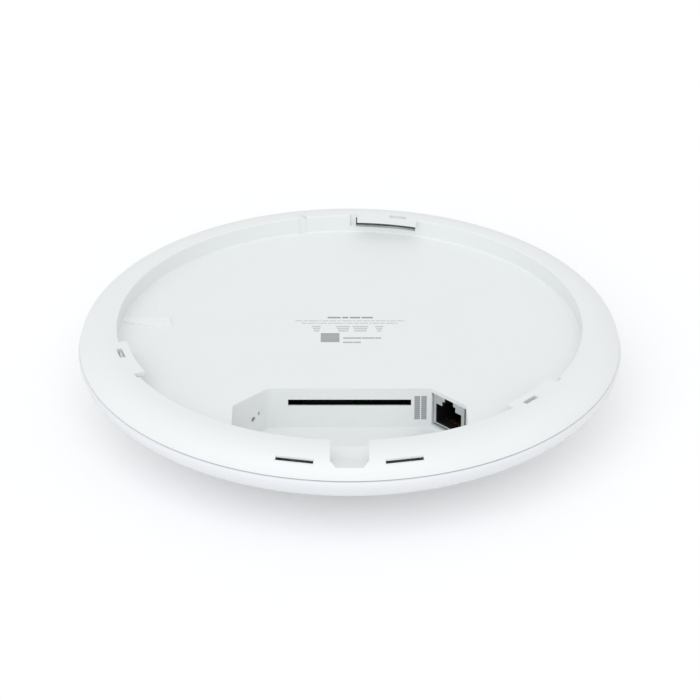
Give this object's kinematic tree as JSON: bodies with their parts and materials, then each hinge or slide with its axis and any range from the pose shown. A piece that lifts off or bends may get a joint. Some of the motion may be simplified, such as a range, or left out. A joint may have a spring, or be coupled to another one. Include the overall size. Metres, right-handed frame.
{
  "type": "ceiling access point",
  "caption": "Round ceiling access point with a shallow domed front, a recessed back cover with bayonet tabs, a sunken cable bay with a network jack, and a reset button.",
  "frame": {"origin": "middle of the small flat at the bottom of the dome, which is the lowest point of the object", "axes": "+Z from the dome towards the ceiling side, which is also up in use; -Y towards the cable notch and the cable bay; +X towards the network jack's side"},
  "size_m": [0.197, 0.197, 0.035],
  "materials": {
    "front_plastic": "fine moulded texture, white",
    "back_plastic": "fine moulded texture, white",
    "lens_plastic": "diffusing white",
    "board_laminate": "green solder mask",
    "light_board_laminate": "white solder mask",
    "light_emitter": "clear resin",
    "ribbon": "amber film",
    "jack_shield_steel": "tinned sheet",
    "jack_nylon": "black moulded",
    "contact_gold": "gold plated",
    "button_nylon": "grey moulded",
    "chip_epoxy": "black moulded",
    "capacitor_sleeve": "shrunk sleeve",
    "can_tin": "tinned sheet",
    "thermal_silicone": "soft grey",
    "spreader_cast": "as cast",
    "plate_sheet": "rolled sheet",
    "antenna_brass": "tinned",
    "lead_jacket": "black jacket",
    "screw_zinc": "zinc plated"
  },
  "bodies": {
    "housing": {"front_cover": "front_plastic", "back_cover": "back_plastic", "status_lens": "lens_plastic", "main_board": "board_laminate", "status_light_board": "light_board_laminate", "status_light_emitter": "light_emitter", "status_light_ribbon": "ribbon", "lan_jack_shield": "jack_shield_steel", "lan_jack_insulator": "jack_nylon", "reset_switch": "jack_nylon", "lan_jack_contacts": "contact_gold", "antenna_plug_1": "contact_gold", "antenna_plug_2": "contact_gold", "antenna_plug_3": "contact_gold", "antenna_plug_4": "contact_gold", "processor": "chip_epoxy", "radio_chip_1": "chip_epoxy", "radio_chip_2": "chip_epoxy", "memory_chip": "chip_epoxy", "lan_transformer": "chip_epoxy", "poe_transformer": "chip_epoxy", "poe_inductor": "chip_epoxy", "poe_capacitor_1": "capacitor_sleeve", "poe_capacitor_2": "capacitor_sleeve", "poe_capacitor_3": "capacitor_sleeve", "processor_can": "can_tin", "radio_can_1": "can_tin", "radio_can_2": "can_tin", "thermal_pad_1": "thermal_silicone", "thermal_pad_2": "thermal_silicone", "thermal_pad_3": "thermal_silicone", "heat_spreader": "spreader_cast", "antenna_plate": "plate_sheet", "antenna_1": "antenna_brass", "antenna_2": "antenna_brass", "antenna_3": "antenna_brass", "antenna_4": "antenna_brass", "antenna_lead_1": "lead_jacket", "antenna_lead_2": "lead_jacket", "antenna_lead_3": "lead_jacket", "antenna_lead_4": "lead_jacket", "board_screw_1": "screw_zinc", "board_screw_2": "screw_zinc", "board_screw_3": "screw_zinc", "board_screw_4": "screw_zinc", "board_screw_5": "screw_zinc", "board_screw_6": "screw_zinc", "spreader_screw_1": "screw_zinc", "spreader_screw_2": "screw_zinc", "spreader_screw_3": "screw_zinc", "spreader_screw_4": "screw_zinc", "plate_screw_1": "screw_zinc", "plate_screw_2": "screw_zinc", "plate_screw_3": "screw_zinc"},
    "reset_button": {"reset_button": "button_nylon"}
  },
  "joints": [
    {"name": "reset_press", "type": "slide", "parent": "housing", "child": "reset_button", "axis": [-0.7071, 0.7071, 0], "range_m": [0, 0.0003], "stiffness_N_per_m": 3000, "springref_m": -0.0002}
  ]
}
